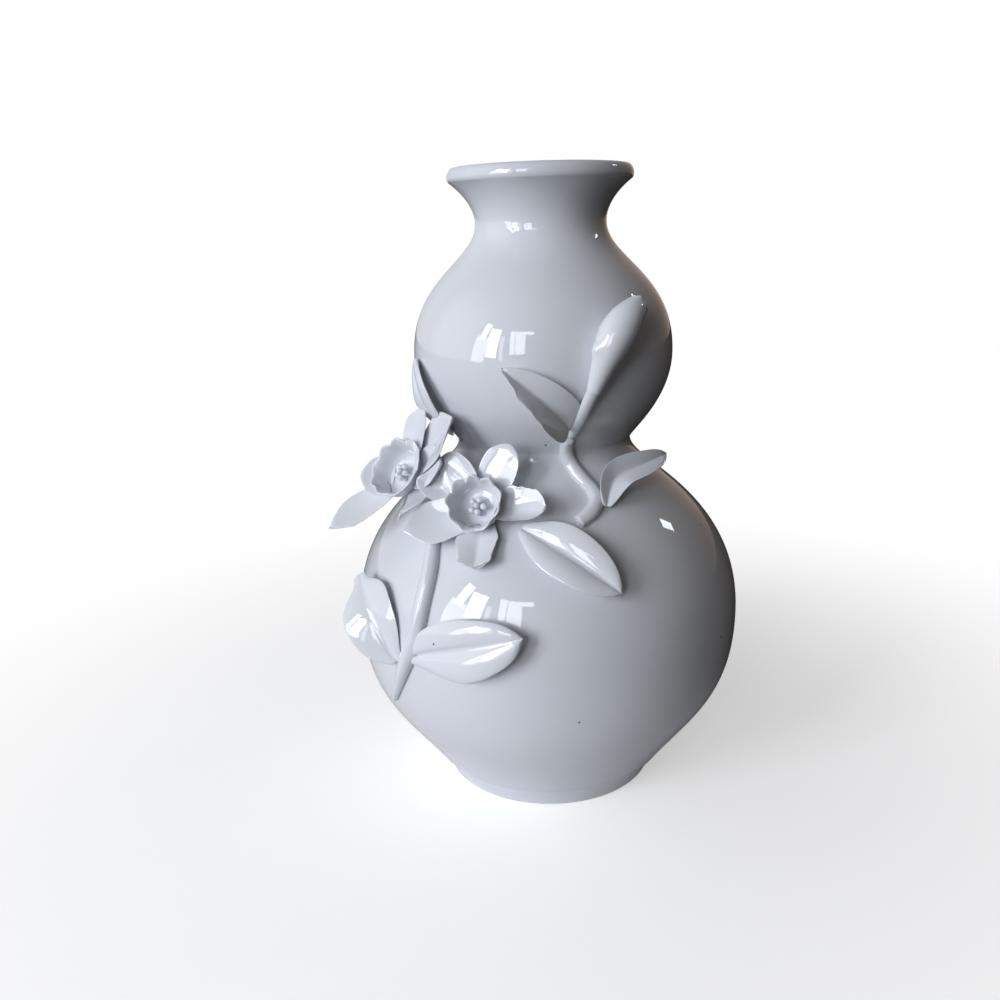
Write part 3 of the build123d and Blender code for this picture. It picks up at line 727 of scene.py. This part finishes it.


# the walls get the plain glaze; the applied pieces get the lighter copy, painted light for the light they catch
wallGlaze = glazedPorcelain("vesselGlaze", glaze["vessel"])
paintedLighterGlaze = glazedPorcelain("appliedPaintedLightGlaze", glaze["applied"])
for piece in pieces:
    piece.data.materials.append(wallGlaze if piece.name == "vessel" else paintedLighterGlaze)
print("materials done")

# a sheet of pale paper under the vase, a little to the left, on a dark table; the camera sees paper that fades
# to plain white. Metres.
floorValues = {
    "colour": "#E6E6E6", "table": "#3A3632", "width": 6.0, "fadeStart": 0.08, "fadeEnd": 0.32, "glow": 0.44,
    "paperMiddle": (-0.055, -0.045, 0.0), "paperEnd": 0.08, "tableStart": 0.20,
}


# one flat square; colour and brightness go by the distance from the vase, as smooth steps
def makeFloor():
    half = floorValues["width"] / 2
    mesh = bpy.data.meshes.new("floor")
    mesh.from_pydata([(-half, -half, 0), (half, -half, 0), (half, half, 0), (-half, half, 0)], [], [(0, 1, 2, 3)])
    floor = bpy.data.objects.new("floor", mesh)
    bpy.context.scene.collection.objects.link(floor)
    material, tree = emptyMaterial("floorPaper")
    place = addNode(tree, "ShaderNodeTexCoord")
    distance = addNode(tree, "ShaderNodeVectorMath", {"operation": "LENGTH"}, {0: (place, "Object")})
    fade = addNode(tree, "ShaderNodeMapRange", {"interpolation_type": "SMOOTHSTEP"}, {
        "Value": (distance, "Value"), "From Min": floorValues["fadeStart"], "From Max": floorValues["fadeEnd"],
    })
    rays = addNode(tree, "ShaderNodeLightPath")
    seen = addNode(tree, "ShaderNodeMath", {"operation": "MULTIPLY"}, {0: (fade, 0), 1: (rays, "Is Camera Ray")})
    unseen = addNode(tree, "ShaderNodeMath", {"operation": "SUBTRACT"}, {0: 1.0, 1: (rays, "Is Camera Ray")})
    away = addNode(tree, "ShaderNodeVectorMath", {"operation": "DISTANCE"},
                   {0: (place, "Object"), 1: floorValues["paperMiddle"]})
    edge = addNode(tree, "ShaderNodeMapRange", {"interpolation_type": "SMOOTHSTEP"}, {
        "Value": (away, "Value"), "From Min": floorValues["paperEnd"], "From Max": floorValues["tableStart"],
    })
    far = addNode(tree, "ShaderNodeMath", {"operation": "MULTIPLY"}, {0: (edge, 0), 1: (unseen, 0)})
    sheet = addNode(tree, "ShaderNodeMix", {"data_type": "RGBA"},
                    {0: (far, 0), 6: linear(floorValues["colour"]), 7: linear(floorValues["table"])})
    paper = addNode(tree, "ShaderNodeBsdfDiffuse", None, {"Color": (sheet, 2)})
    glow = addNode(tree, "ShaderNodeEmission", None, {
        "Color": [floorValues["glow"]] * 3 + [1], "Strength": (rays, "Is Camera Ray"),
    })
    both = addNode(tree, "ShaderNodeAddShader", None, {0: (paper, 0), 1: (glow, 0)})
    white = addNode(tree, "ShaderNodeEmission", None, {"Strength": 1.0})
    mixed = addNode(tree, "ShaderNodeMixShader", None, {0: (seen, 0), 1: (both, 0), 2: (white, 0)})
    addNode(tree, "ShaderNodeOutputMaterial", None, {"Surface": (mixed, 0)})
    mesh.materials.append(material)


# sets an object's place and its own X, Y and Z directions
def setPlace(thing, axes, place):
    thing.matrix_world = Matrix([[*(axis[row] for axis in axes), place[row]] for row in range(3)] + [[0, 0, 0, 1]])


# window panes in front on the left, each a soft lamp: azimuth and elevation range seen from the vase, slant of
# the pane, and its radiance. The last one is a small far window behind the right shoulder. Metres and degrees.
windows = {
    "range": 2.4, "middle": 0.11, "colour": "#F3F7FF",
    "panes": (
        ((-28.4, -24.2), (6.0, 28.5), 2, 8.0),
        ((-23.6, -15.0), (6.0, 28.5), 1, 8.0),
        ((-15.0, -7.5), (25.5, 28.5), 0, 8.0),
        ((-48.5, -38.5), (2.0, 29.0), -5, 14.0),
        ((-56.0, -50.0), (17.0, 33.0), -14, 14.0),
        ((-62.0, -49.5), (-3.0, 20.0), -10, 6.0),
        ((-37.0, -34.0), (0.0, 22.0), -4, 4.0),
        ((113.0, 117.5), (27.5, 33.5), 20, 12.0),
    ),
}


# sides of a pane: twice its distance times the tangent of half its angle; its power: radiance x pi x area
def makePane(name, azimuthRange, elevationRange, slant, radiance):
    azimuth, elevation = math.radians(sum(azimuthRange) / 2), math.radians(sum(elevationRange) / 2)
    reach = windows["range"]
    width = 2 * reach * math.tan(math.radians(azimuthRange[1] - azimuthRange[0]) / 2) * math.cos(elevation)
    height = 2 * reach * math.tan(math.radians(elevationRange[1] - elevationRange[0]) / 2)
    lamp = bpy.data.lights.new(name, "AREA")
    lamp.shape = "RECTANGLE"
    lamp.size, lamp.size_y = width, height
    lamp.energy = radiance * math.pi * width * height
    lamp.color = linear(windows["colour"])[:3]
    thing = bpy.data.objects.new(name, lamp)
    bpy.context.scene.collection.objects.link(thing)
    across, upright, axis = directions(azimuth, elevation)
    turn = math.radians(slant)
    side = across * math.cos(turn) + upright * math.sin(turn)
    up = upright * math.cos(turn) - across * math.sin(turn)
    setPlace(thing, (side, up, axis), axis * reach + np.array([0, 0, windows["middle"]]))


# white for the camera; for other rays the room it stood in: a bright wall far on the left, light behind and
# a dim warm side on the right, as stops of azimuth and level, with a dim ceiling from this height of the ray
room = {
    "stops": (
        (-180, 0.60), (-138, 0.60), (-118, 0.30), (-102, 0.90), (-68, 1.0), (-54, 0.20), (0, 0.03),
        (45, 0.04), (85, 0.06), (120, 0.10), (140, 0.26), (156, 0.52), (180, 0.60),
    ),
    "ceiling": 0.13, "ceilingFrom": 0.55, "ceilingFull": 0.9,
    "colour": "#FCFCFF", "warmColour": "#FFDFC4", "warmFrom": 20, "warmTo": 170,
}


# the azimuth of a ray, the arc tangent of its sides, is looked up on a colour band; a smooth step of its
# height mixes in the ceiling
def makeWorld():
    world = bpy.data.worlds.new("room")
    bpy.context.scene.world = world
    world.use_nodes = True
    tree = world.node_tree
    tree.nodes.clear()
    place = addNode(tree, "ShaderNodeTexCoord")
    axes = addNode(tree, "ShaderNodeSeparateXYZ", None, {0: (place, "Generated")})
    front = addNode(tree, "ShaderNodeMath", {"operation": "MULTIPLY"}, {0: (axes, "Y"), 1: -1.0})
    azimuth = addNode(tree, "ShaderNodeMath", {"operation": "ARCTAN2"}, {0: (axes, "X"), 1: (front, 0)})
    share = addNode(tree, "ShaderNodeMapRange", None,
                    {"Value": (azimuth, 0), "From Min": -math.pi, "From Max": math.pi})
    ramp = addNode(tree, "ShaderNodeValToRGB", None, {"Fac": (share, 0)})
    band = ramp.color_ramp
    stops = room["stops"]
    for azimuthStop, _ in stops[1:-1]:
        band.elements.new((azimuthStop + 180) / 360)
    tint = linear(room["colour"])
    for element, (azimuthStop, level) in zip(sorted(band.elements, key=lambda e: e.position), stops):
        element.position = (azimuthStop + 180) / 360
        warm = room["warmFrom"] < azimuthStop < room["warmTo"]
        colour = linear(room["warmColour"]) if warm else tint
        element.color = [part * level for part in colour[:3]] + [1]
    lift = addNode(tree, "ShaderNodeMapRange", {"interpolation_type": "SMOOTHSTEP"},
                   {"Value": (axes, "Z"), "From Min": room["ceilingFrom"], "From Max": room["ceilingFull"]})
    walls = addNode(tree, "ShaderNodeMix", {"data_type": "RGBA"},
                    {0: (lift, 0), 6: (ramp, 0), 7: [part * room["ceiling"] for part in tint[:3]] + [1]})
    indoors = addNode(tree, "ShaderNodeBackground", None, {"Color": (walls, 2), "Strength": 1.0})
    white = addNode(tree, "ShaderNodeBackground", None, {"Color": [1, 1, 1, 1], "Strength": 1.0})
    rays = addNode(tree, "ShaderNodeLightPath")
    mixed = addNode(tree, "ShaderNodeMixShader", None, {0: (rays, "Is Camera Ray"), 1: (indoors, 0), 2: (white, 0)})
    addNode(tree, "ShaderNodeOutputWorld", None, {"Surface": (mixed, 0)})


# camera turned by yaw, pitched down and rolled in radians, as it was held; distance and height in millimetres
camera = {
    "distance": 303.0, "height": 181.8, "yaw": -0.0500, "pitch": 0.2814, "roll": -0.0297,
    "lens": 33.66, "sensor": 36.0, "clip": 10.0,
}


# forward: sine and cosine of the yaw, down by the tangent of the pitch; right and up are turned by the roll
def makeCamera():
    yaw, pitch, roll = camera["yaw"], camera["pitch"], camera["roll"]
    forward = np.array([math.sin(yaw), math.cos(yaw), -math.tan(pitch)]) * math.cos(pitch)
    right = np.array([math.cos(yaw), -math.sin(yaw), 0])
    up = np.cross(right, forward)
    across = math.cos(roll) * right + math.sin(roll) * up
    upwards = -math.sin(roll) * right + math.cos(roll) * up
    data = bpy.data.cameras.new("camera")
    data.lens, data.sensor_width, data.clip_start = camera["lens"], camera["sensor"], camera["clip"] * millimetre
    thing = bpy.data.objects.new("camera", data)
    bpy.context.scene.collection.objects.link(thing)
    place = (0, -camera["distance"] * millimetre, camera["height"] * millimetre)
    setPlace(thing, (across, upwards, -forward), place)
    bpy.context.scene.camera = thing


makeFloor()
for number, pane in enumerate(windows["panes"], 1):
    makePane(f"pane_{number}", *pane)
makeWorld()
makeCamera()
bpy.context.scene.view_settings.view_transform = "Standard"
print("studio done")
